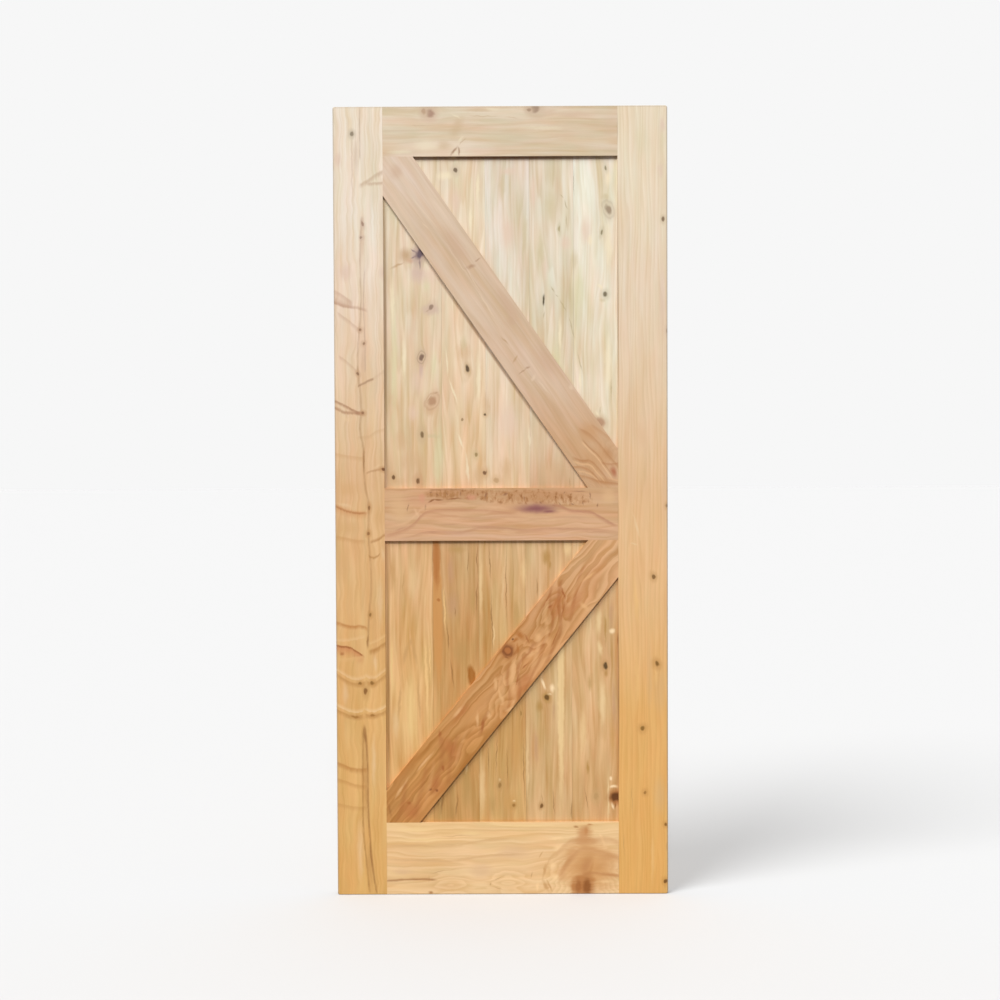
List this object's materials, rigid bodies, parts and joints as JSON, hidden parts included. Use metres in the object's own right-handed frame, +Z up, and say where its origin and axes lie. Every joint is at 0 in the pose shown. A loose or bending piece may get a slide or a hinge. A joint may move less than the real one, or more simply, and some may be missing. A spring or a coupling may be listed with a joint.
{
  "type": "barn door leaf",
  "caption": "Sliding barn door leaf of knotty wood: stile and rail frame with tongue-and-groove board panels and a diagonal K brace, bare of hangers.",
  "frame": {"origin": "middle of the leaf's top edge, halfway through its thickness, where top hangers carry it", "axes": "+X to the right seen from the front, +Y from the front face to the back face, +Z up"},
  "size_m": [0.9, 0.035, 2.134],
  "materials": {
    "left_stile_wood": "planed, unstained",
    "right_stile_wood": "planed, unstained",
    "top_rail_wood": "planed, unstained",
    "middle_rail_wood": "planed, unstained",
    "bottom_rail_wood": "planed, unstained",
    "upper_board_wood": "planed, unstained",
    "lower_board_wood": "planed, unstained",
    "upper_brace_wood": "planed, unstained",
    "lower_brace_wood": "planed, unstained"
  },
  "bodies": {
    "root": {"left_stile": "left_stile_wood", "right_stile": "right_stile_wood", "top_rail": "top_rail_wood", "middle_rail": "middle_rail_wood", "bottom_rail": "bottom_rail_wood", "upper_board_1": "upper_board_wood", "upper_board_2": "upper_board_wood", "upper_board_3": "upper_board_wood", "upper_board_4": "upper_board_wood", "upper_board_5": "upper_board_wood", "lower_board_1": "lower_board_wood", "lower_board_2": "lower_board_wood", "lower_board_3": "lower_board_wood", "lower_board_4": "lower_board_wood", "lower_board_5": "lower_board_wood", "upper_brace_front": "upper_brace_wood", "upper_brace_back": "upper_brace_wood", "lower_brace_front": "lower_brace_wood", "lower_brace_back": "lower_brace_wood"}
  },
  "joints": []
}
